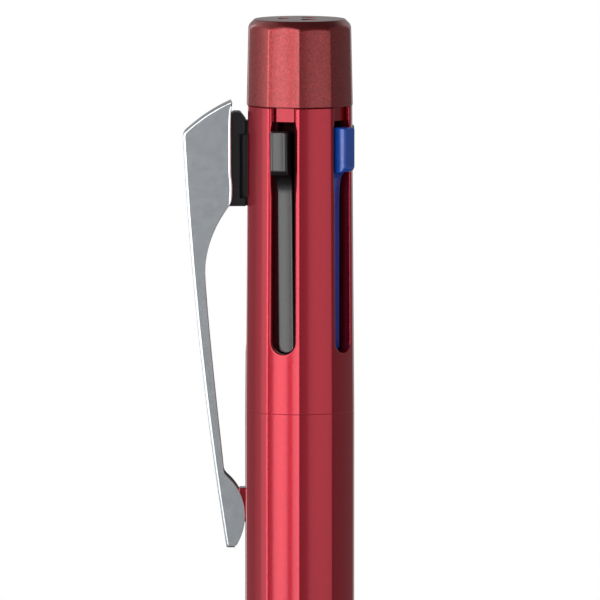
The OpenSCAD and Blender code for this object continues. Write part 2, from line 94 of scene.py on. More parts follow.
# The legs' lower ends, inside the collars
Z_LEG = 103.2

# Width of the narrow strips that keep a rounding's shading off the flats beside it
HOLD = 0.03
# Points that agree to this many decimals of a millimetre are one point
WELD_DIGITS = 4
# Slack in comparisons of lengths
JUST = 1e-6


# Mesh helpers


class Shell:
    """Collects patches of points and welds the points that coincide."""

    def __init__(self):
        self.points = []
        self.faces = []
        self.index = {}

    def point(self, p):
        key = tuple(round(c, WELD_DIGITS) for c in p)
        if key not in self.index:
            self.index[key] = len(self.points)
            self.points.append(p)
        return self.index[key]

    def face(self, corners):
        """A face without repeated corners, left out if fewer than three remain."""
        ids = []
        for p in corners:
            i = self.point(p)
            if i not in ids:
                ids.append(i)
        if len(ids) > 2:
            self.faces.append(ids)

    def patch(self, rows, closed=False):
        """Quads between neighbouring rows of points."""
        for low, high in zip(rows, rows[1:]):
            n = len(low)
            for i in range(n if closed else n - 1):
                j = (i + 1) % n
                self.face((low[i], low[j], high[j], high[i]))

    def block(self, rows):
        """Closed rows, with a flat face on the first and on the last."""
        self.patch(rows, closed=True)
        self.face(rows[0])
        self.face(rows[-1])

    def mesh(self, name, sharp):
        """A mesh in metres, smooth except at edges sharper than an angle."""
        mesh = bpy.data.meshes.new(name)
        mesh.from_pydata([Vector(p) * MM for p in self.points], [], self.faces)
        work = bmesh.new()
        work.from_mesh(mesh)
        bmesh.ops.recalc_face_normals(work, faces=work.faces)
        work.to_mesh(mesh)
        work.free()
        mesh.shade_smooth()
        mesh.set_sharp_from_angle(angle=math.radians(sharp))
        return mesh


def smooth(x, low, high):
    """Rises from 0 at low to 1 at high, level at both."""
    t = min(max((x - low) / (high - low), 0), 1)
    return t * t * (3 - 2 * t)


def arc(cu, cv, r, a0, a1, n):
    """Points on a circle from angle a0 to a1, in degrees."""
    turns = [math.radians(a0 + (a1 - a0) * i / n) for i in range(n + 1)]
    return [(cu + r * math.cos(a), cv + r * math.sin(a)) for a in turns]


def quarter(n):
    """The sine, and what the cosine has lost, at each of n steps over a quarter turn."""
    turns = [math.pi / 2 * k / n for k in range(n + 1)]
    return [(math.sin(a), 1 - math.cos(a)) for a in turns]


def cubic(p, q, r, s, n):
    """Points on a cubic curve from p to s, with q and r as its handles."""
    points = []
    for i in range(n + 1):
        t = i / n
        u = 1 - t
        weights = (u * u * u, 3 * u * u * t, 3 * u * t * t, t * t * t)
        points.append(tuple(
            sum(w * c[k] for w, c in zip(weights, (p, q, r, s))) for k in (0, 1)
        ))
    return points


def bowed(start, end, bow, n):
    """Points on a shallow arch that stands out by bow to the left of its chord."""
    p, q = Vector(start), Vector(end)
    left = Vector((-(q - p).y, (q - p).x)).normalized()
    points = []
    for i in range(n + 1):
        t = i / n
        m = p + (q - p) * t + left * 4 * bow * t * (1 - t)
        points.append((m.x, m.y))
    return points


def resample(line, count):
    """A line's points at count equal steps along it."""
    lengths = [0]
    for (u0, v0), (u1, v1) in zip(line, line[1:]):
        lengths.append(lengths[-1] + math.hypot(u1 - u0, v1 - v0))
    points = []
    i = 0
    for k in range(count + 1):
        want = lengths[-1] * k / count
        while i < len(line) - 2 and lengths[i + 1] < want:
            i += 1
        span = lengths[i + 1] - lengths[i]
        w = (want - lengths[i]) / span if span else 0
        points.append(tuple(a + (b - a) * w for a, b in zip(line[i], line[i + 1])))
    return points


def first_below(line, height):
    """The number of a falling line's first point at or under a height."""
    for i, (_, v) in enumerate(line):
        if v <= height:
            return i
    return len(line) - 1


def apart(a, b):
    """The angle between two azimuths."""
    return abs((a - b + 180) % 360 - 180)


def around(azimuth, out, side, z):
    """A point from its distance out along an azimuth and its distance to the side."""
    a = math.radians(azimuth)
    return (
        out * math.cos(a) - side * math.sin(a),
        out * math.sin(a) + side * math.cos(a),
        z,
    )


def lathe(shell, profile, columns, azimuth=0, out=0):
    """Turns a closed profile of (radius, height) about an upright axis."""
    rows = []
    for r, z in profile + profile[:1]:
        ring = []
        for i in range(columns):
            a = 2 * math.pi * i / columns
            ring.append(around(azimuth, out + r * math.cos(a), r * math.sin(a), z))
        rows.append(ring)
    shell.patch(rows, closed=True)


def inset(outline, d):
    """A closed outline moved inwards by d, for outlines that run anticlockwise."""
    moved = []
    n = len(outline)
    for i in range(n):
        (ax, ay), (bx, by), (cx, cy) = outline[i - 1], outline[i], outline[(i + 1) % n]
        e = Vector((bx - ax, by - ay)).normalized()
        f = Vector((cx - bx, cy - by)).normalized()
        inward = Vector((-e.y - f.y, e.x + f.x))
        if inward.length < JUST:
            inward = Vector((-e.y, e.x))
        inward.normalize()
        # at a sharp corner the shift is held back
        stretch = max(inward.dot(Vector((-e.y, e.x))), 0.35)
        moved.append((bx + inward.x * d / stretch, by + inward.y * d / stretch))
    return moved


def pillow(shell, outline, width, radius):
    """A plate on the clip's side with its rims rounded on both faces."""
    rim_steps = 4
    rim = [(radius + HOLD, width / 2)]
    for sine, lost in quarter(rim_steps):
        rim.append((radius * (1 - sine), width / 2 - radius * lost))
    rim.append((0, width / 2 - radius - HOLD))
    # over one rim from its cap, across, and over the other rim
    rows = []
    for d, y in rim + [(d, -y) for d, y in reversed(rim)]:
        rows.append([around(CLIP_AZIMUTH, u, y, v) for u, v in inset(outline, d)])
    shell.block(rows)


# Ten-sided section


class Facet:
    """One bowed facet of a ten-sided bar, with a rounded edge on either side."""

    LAND_STEPS = 8
    EDGE_STEPS = 4

    def __init__(self, apothem, bow_r, edge_r):
        self.bow_r = bow_r
        self.centre = apothem - bow_r
        reach = bow_r - edge_r
        drop = self.centre * math.sin(HALF_FACET)
        out = self.centre * math.cos(HALF_FACET) + math.sqrt(reach * reach - drop * drop)
        self.edge = (out * math.sin(HALF_FACET), out * math.cos(HALF_FACET))
        self.edge_r = edge_r
        self.tilt = math.atan2(self.edge[0], self.edge[1] - self.centre)
        self.land = bow_r * math.sin(self.tilt)

    def height(self, t):
        return self.centre + math.sqrt(self.bow_r * self.bow_r - t * t)

    def edge_points(self):
        """From the end of the bowed land to the middle of the edge."""
        points = []
        for i in range(self.EDGE_STEPS + 1):
            a = self.tilt + (HALF_FACET - self.tilt) * i / self.EDGE_STEPS
            points.append((
                self.edge[0] + self.edge_r * math.sin(a),
                self.edge[1] + self.edge_r * math.cos(a),
            ))
        return points

    def section(self):
        """Points (side, out) from one edge to the other."""
        half = [self.land * i / self.LAND_STEPS for i in range(self.LAND_STEPS)]
        right = [(t, self.height(t)) for t in half] + self.edge_points()
        left = [(-t, h) for t, h in reversed(right[1:])]
        return left + right


BODY_FACET = Facet(FLAT, bow_r=14.0, edge_r=0.75)


def ring_of(facet, scale, z):
    """All points of a ten-sided ring, each facet's end left out."""
    points = []
    for k in range(FLATS):
        for side, out in facet.section()[:-1]:
            points.append(around(FACET_TURN * k, out * scale, side * scale, z))
    return points


def circle_of(r, z):
    """A round ring with as many points as the barrel's ten-sided one, lined up with it."""
    points = []
    per = len(BODY_FACET.section()) - 1
    for k in range(FLATS):
        for i in range(per):
            points.append(around(FACET_TURN * (k - 0.5 + i / per), r, 0, z))
    return points


# Rear barrel

Z_MOULD = 102.92
# Sizes of the barrel's section below its mould line and at the crown, as shares of the CAD's
BARREL_LOW = 1.0215
BARREL_HIGH = 0.9815


def barrel_scale(z):
    """The draft that narrows the barrel above its mould line."""
    t = min(max((z - Z_MOULD) / (Z_TOP - Z_MOULD), 0), 1)
    return BARREL_LOW + (BARREL_HIGH - BARREL_LOW) * t


def ramp(shell):
    """The ramp under the clip's foot."""
    root, top, brow_r = 5.7, 94.0, 0.18
    outline = [(root, top - 4.1), (6.26, top - 4.1), (6.75, top - 2.4), (6.93, top - 1.6)]
    outline += arc(6.82, top - brow_r, brow_r, 0, 90, 4) + [(root, top)]
    pillow(shell, outline, 2.0, 0.1)


def barrel():
    """The slotted tube, facet by facet: edges, land, bore and slot. Then the clip's ramp."""
    shell = Shell()
    facet = BODY_FACET
    land = facet.land
    inner_land = BORE * math.sin(HALF_FACET)
    bevel, groove = 0.09, 0.015
    rim, rim_steps = 0.16, 6
    # a slot widens over the first two heights and narrows over the others, round its knob
    knob_room, widen, narrow = 0.1, (127.6, 129.6), (135.6, 136.3)
    # A slot's end is a fan of lines from its middle. The outer ones on either side run to the
    # facet's edges, and the others to a level line under the slot.
    z_mid = SLOT_BOTTOM + SLOT_HALF
    turn_steps, side_steps = 20, 6
    fan = 180 / turn_steps
    fan_turns = [math.radians(180 + fan * j) for j in range(turn_steps + 1)]
    fan_levels = [z_mid - land * math.tan(math.radians(fan * j)) for j in range(side_steps + 1)]
    fan_deep = land * math.tan(math.radians(fan * side_steps))
    z_fan = z_mid - fan_deep
    # where the upright lines of a facet's land stand between its edges, with a slot and without
    low_turns = fan_turns[side_steps + 1:-side_steps - 1]
    fan_across = [fan_deep * math.cos(a) / -math.sin(a) for a in low_turns]
    steps = Facet.LAND_STEPS
    even_across = [land * (i / steps) for i in range(1 - steps, steps)]

    mould = [Z_MOULD + d for d in (-0.1, -0.03, 0.03, 0.1)]
    levels = [Z_REAR, Z_REAR + bevel, Z_REAR + bevel + HOLD, 66, Z_SEAT_TOP, 80, 88, 96]
    levels += [mould[0] - HOLD, *mould, mould[3] + HOLD, 105]
    levels += fan_levels[::-1]
    levels += [112, 116, 120, 124, widen[0], 128, 128.6, 129.2, widen[1], 132]
    levels += [narrow[0], 135.9, narrow[1], 136.6]
    levels += [Z_TOP - bevel - HOLD, Z_TOP - bevel, Z_TOP]

    def drop(z):
        """How far the surface sinks: at the ends' small bevels and at the mould line."""
        if z in (Z_REAR, Z_TOP):
            return bevel
        return groove if z in mould[1:3] else 0

    def slot_half(z):
        """The slots widen a little where the knobs rest."""
        return SLOT_HALF + knob_room * smooth(z, *widen) * (1 - smooth(z, *narrow))

    def bore(z):
        return SEAT_BORE if z <= Z_SEAT_TOP else BORE

    def outer(azimuth, t, h, z):
        s = barrel_scale(z)
        return around(azimuth, (h - drop(z)) * s, t * s, z)

    def inner(azimuth, t, z, r):
        return around(azimuth, math.sqrt(r * r - t * t), t, z)

    def edges(azimuth):
        """The rounded edges on both sides, over the whole length."""
        for sign in (-1, 1):
            shell.patch([
                [outer(azimuth, sign * t, h, z) for t, h in facet.edge_points()]
                for z in levels
            ])

    def walls(azimuth, slotted):
        """The bowed land, below the slot where there is one, the bore behind it, the ends."""
        lower = [z for z in levels if not slotted or z <= z_fan + JUST]
        between = fan_across if slotted else [HOLD - land, *even_across, land - HOLD]
        across = [-land, *between, land]
        shell.patch([[outer(azimuth, t, facet.height(t), z) for t in across] for z in lower])

        def bore_row(z, r):
            half = r * math.sin(HALF_FACET)
            return [inner(azimuth, t / land * half, z, r) for t in across]

        bore_rows = []
        for z in lower:
            bore_rows.append(bore_row(z, bore(z)))
            if z == Z_SEAT_TOP:
                bore_rows.append(bore_row(z, BORE))
        shell.patch(bore_rows)
        edge = facet.edge_points()[1:]
        whole = [(-t, h) for t, h in reversed(edge)]
        whole += [(t, facet.height(t)) for t in across] + edge
        for z in (Z_REAR,) if slotted else (Z_REAR, Z_TOP):
            end = [outer(azimuth, t, h, z) for t, h in whole]
            shell.face(end + bore_row(z, bore(z))[::-1])

    def slot_outline():
        """A slot's outline, and the points that face it on the border of the land.

        The outline runs down the slot's left side, round its end and up its right side. A
        point of it has its side, its height and the outward direction in both.
        """
        above = [z for z in levels if z > z_mid + JUST]
        path = [(-slot_half(z), z, -1, 0) for z in reversed(above)]
        for a in fan_turns:
            m, n = math.cos(a), math.sin(a)
            path.append((SLOT_HALF * m, z_mid + SLOT_HALF * n, m, n))
        path += [(slot_half(z), z, 1, 0) for z in above]
        beside = above[::-1] + fan_levels
        border = [(-land, z) for z in beside] + [(t, z_fan) for t in fan_across]
        return path, border + [(land, z) for z in reversed(beside)]

    def slot(azimuth):
        """A slot's rounded rim, its walls, and the land between its rim and its border."""
        path, border = slot_outline()
        layers = []
        for sine, lost in quarter(rim_steps):
            off, sunk = rim * (1 - sine), rim * lost
            layers.append([
                outer(azimuth, t + m * off, facet.height(t + m * off) - sunk, z + n * off)
                for t, z, m, n in path
            ])
        inner_path = [inner(azimuth, t, z, BORE) for t, z, _, _ in path]
        layers.append(inner_path)
        shell.patch(layers)
        rows = []
        for w in (0, 0.12, 0.5, 0.9, 1):
            row = []
            for (t, z, m, n), (bt, bz) in zip(path, border):
                ot, oz = t + m * rim, z + n * rim
                pt = ot + (bt - ot) * w
                pz = bz if w == 1 else oz + (bz - oz) * w
                row.append(outer(azimuth, pt, facet.height(pt), pz))
            rows.append(row)
        shell.patch(rows)
        inner_border = [inner(azimuth, t / land * inner_land, z, BORE) for t, z in border]
        shell.patch([inner_path, inner_border])
        # the top end of the land on either side of the slot
        for i, side in ((0, -1), (-1, 1)):
            corner = [outer(azimuth, side * t, h, Z_TOP) for t, h in facet.edge_points()]
            run = corner[::-1] + [row[i] for row in rows[::-1]] + [row[i] for row in layers]
            run.append(inner(azimuth, side * inner_land, Z_TOP, BORE))
            shell.face(run)

    for k in range(FLATS):
        azimuth = FACET_TURN * k
        slotted = azimuth in SLOT_AZIMUTHS
        edges(azimuth)
        walls(azimuth, slotted)
        if slotted:
            slot(azimuth)
    ramp(shell)
    return shell


# Crown


def crown():
    """Tapering flanks, a bevelled shoulder, a domed face with three vents, and a socket."""
    shell = Shell()
    apothem, taper, lip = 6.1, 0.035, 0.12
    facet = Facet(apothem, bow_r=15.0, edge_r=0.8)
    base = ring_of(facet, 1, 0)
    columns = len(base)
    angles = [math.degrees(math.atan2(p[1], p[0])) for p in base]
    z_shoulder, roof = 147.2, Z_END - 1.2
    face_r, hub_r, rise = 5.2, 0.6, 0.05
    fillet_r, round_r = 0.9, 0.2
    post_r, socket_r, z_post, lead_in = 3.31, 2.7, 143.22, 0.15
    vents = (60, 180, 300)
    vent_in, vent_out, vent_half = 1.25, 2.6, 24
    waist_in, waist_drop = 0.4, 0.5
    # how far a rounding's start lies from the corner that it takes off the 45 degree bevel
    half_bend = math.tan(math.radians(22.5))
    round_cut, fillet_cut = round_r * half_bend, fillet_r * half_bend

    def scale(z):
        return 1 - taper * (z - Z_TOP) / (Z_END - Z_TOP)

    def ring(r, z):
        return [around(a, r, 0, z) for a in angles]

    def shoulder(p):
        """From the flank over the bevel to the face, above one point of the base."""
        wide = math.hypot(p[0], p[1]) * scale(z_shoulder)
        cut = Z_END - (wide - face_r)
        line = arc(wide - fillet_r, cut - fillet_cut, fillet_r, 0, 45, 8)
        line += arc(face_r - round_cut, Z_END - round_r, round_r, 45, 90, 4)
        a = math.atan2(p[1], p[0])
        return [(r * math.cos(a), r * math.sin(a), z) for r, z in line]

    rows = []
    for z, inward in ((Z_TOP, lip), (Z_TOP + 0.035, 0.035), (Z_TOP + lip, 0)):
        rows.append(ring_of(facet, scale(z) - inward / apothem, z))
    for z in (Z_TOP + lip + HOLD, 140, 142, 144, 146):
        rows.append(ring_of(facet, scale(z), z))
    rows += zip(*[shoulder(p) for p in base])
    shell.patch(rows, closed=True)

    def dome(r):
        return Z_END + rise * (1 - smooth(r, 0, face_r))

    def in_vent(i, v):
        middle = angles[i] + 0.5 * ((angles[(i + 1) % columns] - angles[i]) % 360)
        return apart(middle, v) < vent_half

    def disc(levels):
        """Rings that close in on the axis, with the vents' cells left open."""
        for (r0, z0), (r1, z1) in zip(levels, levels[1:]):
            holed = (r0, r1) == (vent_out, vent_in)
            a, b = ring(r0, z0), ring(r1, z1)
            for i in range(columns):
                j = (i + 1) % columns
                if not (holed and any(in_vent(i, v) for v in vents)):
                    shell.face((a[i], a[j], b[j], b[i]))
        shell.face(ring(*levels[-1]))

    face_radii = (4.2, 3.4, vent_out, vent_in, hub_r)
    disc([(face_r - round_cut, Z_END)] + [(r, dome(r)) for r in face_radii])
    disc([(r, roof) for r in (socket_r, vent_out, vent_in, hub_r)])

    # the vents' walls, which draw in to a waist
    high_out, high_in = ring(vent_out, dome(vent_out)), ring(vent_in, dome(vent_in))
    low_out, low_in = ring(vent_out, roof), ring(vent_in, roof)
    for v in vents:
        cells = [i for i in range(columns) if in_vent(i, v)]
        cells.append((cells[-1] + 1) % columns)
        top = [high_out[i] for i in cells] + [high_in[i] for i in reversed(cells)]
        low = [low_out[i] for i in cells] + [low_in[i] for i in reversed(cells)]
        middle = sum((Vector(p) for p in top), Vector()) / len(top)
        waist = []
        for p in top:
            q = Vector(p).lerp(middle, waist_in)
            waist.append((q.x, q.y, q.z - waist_drop))
        shell.patch([top, waist, low], closed=True)

    # the socket that grips the post
    socket = [(post_r + lead_in, Z_TOP), (post_r, Z_TOP + lead_in), (post_r, z_post)]
    socket += [(socket_r, z_post), (socket_r, roof)]
    shell.patch([rows[0]] + [ring(r, z) for r, z in socket], closed=True)
    return shell


# Clip


def clip_lines():
    """The back's line and the walls' inner edge, paired station by station, roof to foot.

    The third list says how far the outer skin sinks in at a station, which rounds the foot's
    end.
    """
    roof = bowed((7.93, 138.59), (13.31, 134.96), 0.28, 8)[:-1]
    corner = cubic((13.08, 135.2), (13.33, 134.97), (13.41, 134.8), (13.42, 134.45), 5)
    web = bowed((13.39, 134.2), (8.5, 87.7), 0.6, 24) + [(8.44, 87.36)]
    back = roof + corner + web
    foot = arc(11.98, 91.0, 5.7, 128, 180, 12) + arc(13.2, 91.0, 6.92, 180, 210.5, 8)[1:]
    edge = [(7.88, 137.75), (7.83, 136.9), (7.84, 135.2), (7.82, 133.0), (7.81, 130.7)]
    for handles, end, n in (
        (((7.8, 129.6), (7.7, 129.6)), (7.68, 128.9), 5),
        (((7.68, 126.9), (7.74, 126.98)), (8.2, 126.45), 8),
        (((9.45, 124.7), (11.15, 121.8)), (10.83, 117.6), 14),
        (((10.35, 110.2), (9.0, 98.8)), (8.75, 96.1), 14),
        (((8.7, 95.75), (8.62, 95.65)), foot[1], 4),
    ):
        edge += cubic(edge[-1], *handles, end, n)[1:]
    edge += foot[2:] + arc(7.45, 87.56, 0.2, 210, 270, 3)[1:]

    # the two lines are paired in three stretches that end at matching heights
    back_cuts = [0, len(roof + corner) - 1, first_below(back, 129.2), len(back) - 1]
    edge_cuts = [0, first_below(edge, 133.4), first_below(edge, 128.4), len(edge) - 1]
    back_line, edge_line = back[:1], edge[:1]
    for n, count in enumerate((26, 12, 150)):
        back_line += resample(back[back_cuts[n]:back_cuts[n + 1] + 1], count)[1:]
        edge_line += resample(edge[edge_cuts[n]:edge_cuts[n + 1] + 1], count)[1:]

    end_r, end_steps = 0.15, 4
    sinks = [0] * len(back_line)
    ends = [(line, line[-1]) for line in (back_line, edge_line)]
    for sine, lost in quarter(end_steps)[1:]:
        for line, (u, v) in ends:
            line.append((u, v - end_r * sine))
        sinks.append(end_r * lost)
    return back_line, edge_line, sinks


def clip():
    """The pressed sheet's two skins over its walls and back, and the inner skin's faces, which carry
    painted shade.
    """
    half, sheet = 2.1, 0.4
    edge_r, plain_edge = sheet / 2, 0.06
    roof_bend, web_bend, inner_bend = 0.17, 0.28, 0.05
    flare, flare_w = 0.027, 0.2
    edge_steps, turn_steps = 4, 6
    # heights over which the roof's bend becomes the web's, and the edge begins to roll out
    bend_z, roll_z = (135.4, 134.6), (126.4, 127.4)
    back_line, edge_line, sinks = clip_lines()
    last = len(back_line) - 1
    outer_rows, inner_rows = [], []
    for i, (o, e, sunk) in enumerate(zip(back_line, edge_line, sinks)):
        before, after = Vector(back_line[max(i - 1, 0)]), Vector(back_line[min(i + 1, last)])
        along = (after - before).normalized()
        inward = Vector((along.y, -along.x))
        bend = roof_bend + (web_bend - roof_bend) * smooth(o[1], *bend_z)
        rolled = smooth(e[1], *roll_z)
        lip = flare * rolled
        edge_d = plain_edge + (edge_r - plain_edge) * rolled
        for outside, rows in ((True, outer_rows), (False, inner_rows)):
            face, turn_r = (half - sunk, bend) if outside else (half - sheet, inner_bend)
            start = Vector(o) + inward * (sunk + bend if outside else sheet + inner_bend)
            long = (start - Vector(e)).length
            up = (start - Vector(e)) / long
            # from the middle of the sheet's edge over its rounding and along the wall
            line = []
            for sine, lost in quarter(edge_steps):
                m = Vector(e) + up * edge_d * lost
                swing = (edge_r - sunk if outside else -edge_r) * sine
                line.append((m.x, m.y, half - edge_r + lip + swing))
            for k in range(1, turn_steps + 1):
                t = k / turn_steps
                m = Vector(e) + up * (edge_d + flare_w * t)
                line.append((m.x, m.y, face + lip * (1 - t) ** 2))
            flat = edge_d + flare_w
            for s in (flat + HOLD, 0.5 * (flat + long), long - HOLD, long):
                m = Vector(e) + up * s
                line.append((m.x, m.y, face))
            # round the bend and across the back
            for sine, lost in quarter(turn_steps)[1:]:
                m = start - inward * turn_r * sine
                line.append((m.x, m.y, face - turn_r * lost))
            u, v, y = line[-1]
            line += [(u, v, y) for y in (face - turn_r - HOLD, 0.8, 0)]
            line += [(u, v, -y) for u, v, y in reversed(line[:-1])]
            rows.append([around(CLIP_AZIMUTH, u, y, v) for u, v, y in line])
    shell = Shell()
    shell.patch(outer_rows)
    first_inside = len(shell.faces)
    shell.patch(inner_rows)
    inside = range(first_inside, len(shell.faces))
    for i in (0, -1):
        shell.patch([outer_rows[i], inner_rows[i]])
    return shell, inside


# Sliders


def collar(shell, azimuth):
    """The collar that a slider presses its spring with, and the plug in its refill."""
    plug_r, r, bevel, z_high = 0.75, 1.6, 0.1, 103.8
    profile = [(0, Z_PLUG), (plug_r, Z_PLUG), (plug_r, Z_SPRING_TOP)]
    profile += [(r - bevel, Z_SPRING_TOP), (r, Z_SPRING_TOP + bevel)]
    profile += [(r, z_high - bevel), (r - bevel, z_high), (0, z_high)]
    lathe(shell, profile, 32, azimuth, RING_R)


def loft(shell, levels, azimuth, tilt, arched=()):
    """A block of levels (height, inner, outer, half width, rounding) with a bowed face.

    It leans to the side by tilt, from the leg's foot upwards. The levels counted in arched
    rise towards their sides.
    """
    bow, arch = 0.025, 0.9
    face_steps, edge_steps = 4, 5
    rows = []
    for i, (z, low, high, half, r) in enumerate(levels):
        flat = half - r
        right = []
        for k in range(face_steps + 1):
            y = flat * k / face_steps
            right.append((high - bow * (y / flat) ** 2, y))
        lean = math.degrees(math.atan(2 * bow / flat))
        centre = right[-1][0] - r * math.cos(math.radians(lean))
        right += arc(centre, flat, r, lean, 90, edge_steps)[1:]
        right += [(right[-1][0] - HOLD, half), (low, half)]
        left = [(u, -y) for u, y in reversed(right[1:])]
        side = tilt * (z - Z_LEG)
        row = []
        for u, y in left + right:
            rise = arch * (1 - math.sqrt(max(1 - (y / half) ** 2, 0))) if i in arched else 0
            row.append(around(azimuth, u, side + y, z + rise))
        rows.append(row)
    shell.block(rows)


def slider(azimuth, tilt, lift):
    """A leg in its slot, which bends out over a neck into the knob, and its collar."""
    shell = Shell()
    leg_half, knob_half = 1.02, 1.06
    knob_in, knob_out = 5.42, 7.17
    z_neck, z_chin, z_top = 127.3 + lift, 130.45 + lift, 135.6 + lift
    leg_r, knob_r, chin_r, brow_r = 0.2, 0.32, 0.72, 0.3
    # the foot stands back under an arched step
    step = ((Z_LEG, 0.6), (109.4, 0.6), (109.9, 0.05), (110.0, 0), (110.0 + HOLD, 0))
    levels = [(z, LEG_IN, LEG_OUT - back, leg_half, leg_r) for z, back in step]
    levels.append((z_neck - HOLD, LEG_IN, LEG_OUT, leg_half, leg_r))
    bend = cubic(
        (LEG_OUT, z_neck), (LEG_OUT, 129.2 + lift), (5.2, 130.25 + lift), (6.1, z_chin), 14,
    )
    for i, (u, v) in enumerate(bend):
        grown = smooth(v, z_neck + 1, z_chin)
        half = leg_half + (knob_half - leg_half) * grown
        low = LEG_IN if i == 0 else LEG_OUT - leg_r - 0.1
        levels.append((v, low, u, half, leg_r + (knob_r - leg_r) * grown))
    for u, v in arc(knob_out - chin_r, z_chin + chin_r, chin_r, -80, 0, 8):
        levels.append((v, knob_in, u, knob_half, knob_r))
    for v in (z_chin + chin_r + HOLD, z_top - brow_r - HOLD):
        levels.append((v, knob_in, knob_out, knob_half, knob_r))
    for u, v in arc(knob_out - brow_r, z_top - brow_r, brow_r, 0, 90, 5):
        levels.append((v, knob_in, u, knob_half - 0.6 * (knob_out - u), knob_r))
    loft(shell, levels, azimuth, tilt, range(1, len(step)))
    # the upper end of the leg, behind the knob
    back_half, back_out, back_lap = leg_half - 0.03, LEG_OUT - 0.05, knob_in + 0.2
    back = [(z_neck + 0.5, back_out), (z_chin, back_out), (z_chin + 0.6, back_lap)]
    back.append((z_top - 0.3, back_lap))
    loft(shell, [(z, LEG_IN, u, back_half, leg_r) for z, u in back], azimuth, tilt)
    collar(shell, azimuth)
    return shell


def clip_base():
    """The black block between the clip's walls, with a sunk panel, its neck and its leg."""
    shell = Shell()
    near, shelf, out = 6.19, 6.85, 10.78
    z_bot, z_low, z_high, z_top = 126.55, 127.55, 134.8, 137.36
    wide, sunk_wide, neck_wide, leg_wide = 3.2, 1.0, 2.2, 1.75
    block_r, neck_r, leg_r = 0.08, 0.1, 0.28
    lap = 0.3
    block = [
        (near, z_bot), (out - 0.8, z_bot), (out, z_bot + 0.6), (out, 134.9), (10.0, 135.0),
        (8.5, 135.75), (8.1, 136.65), (7.78, 137.26), (7.6, z_top), (6.97, z_top),
        (6.8, 137.28), (6.22, 136.5), (near, 136.38), (near, z_high), (shelf, z_high),
        (shelf, z_low), (near, z_low),
    ]
    pillow(shell, block, wide, block_r)

    def plate(u0, v0, u1, v1, width, radius):
        pillow(shell, [(u0, v0), (u1, v0), (u1, v1), (u0, v1)], width, radius)

    plate(near + 0.1, z_low - lap, shelf + lap, z_high + lap, sunk_wide, block_r)
    plate(4.9, 126.6, 6.5, 136.35, neck_wide, neck_r)
    plate(LEG_IN, Z_LEG, LEG_OUT, 135.3, leg_wide, leg_r)
    collar(shell, CLIP_AZIMUTH)
    return shell


# Front half


def front_barrel():
    """The collar, its spigot into the rear barrel and the sleeve under the grip."""
    bevel = 0.12
    spigot_r, spigot_cut = 5.34, 0.15
    bore_low, bore_high = 3.58, 4.8
    sleeve_low, sleeve_high, thread_r = 4.52, 5.3, 4.28
    s = barrel_scale(Z_REAR)
    rows = [circle_of(sleeve_high, Z_COLLAR)]
    flank = [(Z_COLLAR, bevel), (Z_COLLAR + bevel, 0), (Z_REAR - bevel, 0), (Z_REAR, bevel)]
    for z, inward in flank:
        rows.append(ring_of(BODY_FACET, s - inward / FLAT, z))
    inside = [(spigot_r, Z_REAR), (spigot_r, Z_SPIGOT - 0.2), (spigot_r - 0.14, Z_SPIGOT)]
    inside += [(bore_high + spigot_cut, Z_SPIGOT), (bore_high, Z_SPIGOT - spigot_cut)]
    inside += [(bore_high, Z_WIDE), (bore_low, Z_NARROW), (bore_low, Z_THREAD)]
    inside += [(thread_r, Z_THREAD), (thread_r, Z_NOSE_TOP), (sleeve_low, Z_NOSE_TOP)]
    inside += [(sleeve_low, Z_NARROW), (sleeve_high, Z_WIDE)]
    rows += [circle_of(r, z) for r, z in inside]
    shell = Shell()
    shell.patch(rows + rows[:1], closed=True)
    return shell


def grip():
    """The rubber sleeve with its ring grooves."""
    low_r, high_r = 5.33, 6.1
    bore_low, bore_high = 4.56, 5.35
    low_round, high_round = 0.3, 0.25
    margin, count, deep, wide = 4.0, 11, 0.35, 0.9
    bottom, sharpness, steps = 0.62, 0.7, 6

    def outside(z):
        return low_r + (high_r - low_r) * (z - Z_NOSE_TOP) / (Z_COLLAR - Z_NOSE_TOP)

    foot = outside(Z_NOSE_TOP) - low_round
    profile = [(bore_low, Z_NOSE_TOP), (foot, Z_NOSE_TOP)]
    profile += arc(foot, Z_NOSE_TOP + low_round, low_round, -60, 0, 3)
    pitch = (Z_COLLAR - Z_NOSE_TOP - 2 * margin) / (count - 1)
    for i in range(count):
        z = Z_NOSE_TOP + margin + i * pitch
        profile.append((outside(z - wide), z - wide))
        for k in range(-steps, steps + 1):
            u = k / steps
            sink = deep * (0.5 + 0.5 * math.cos(math.pi * u)) ** sharpness
            profile.append((outside(z) - sink, z + u * wide * bottom))
        profile.append((outside(z + wide), z + wide))
    profile += arc(outside(Z_COLLAR) - high_round, Z_COLLAR - high_round, high_round, 0, 90, 4)
    profile += [(bore_high, Z_COLLAR), (bore_high, Z_WIDE), (bore_low, Z_NARROW)]
    shell = Shell()
    lathe(shell, profile, 96)
    return shell


def nose_cone():
    """The bowed metal cone, open at the mouth, with the thread's bore at its upper end."""
    mouth, rim, foot = 1.4, 0.5, 5.28
    bevel, bow = 0.14, 0.9
    bore_r, thread_r = 3.58, 4.31
    z_throat, z_bore, z_stop = 2.0, 13.0, Z_THREAD - 0.1
    flank = bowed((mouth + rim, 0), (foot, Z_NOSE_TOP), -bow, 33)[1:-1]
    profile = [(bore_r, z_bore), (mouth, z_throat), (mouth, 0.16), (mouth + bevel, 0.0)]
    profile += [(mouth + rim - bevel, 0.0), (flank[0][0] - 0.05, flank[0][1])] + flank[1:]
    profile += [(foot, Z_NOSE_TOP - 0.2), (foot - 0.15, Z_NOSE_TOP), (thread_r, Z_NOSE_TOP)]
    profile += [(thread_r, z_stop), (bore_r, z_stop)]
    shell = Shell()
    lathe(shell, profile, 96)
    return shell


# Springs

SPRING_R, SPRING_WIRE, SPRING_TURNS = 1.46, 0.25, 15


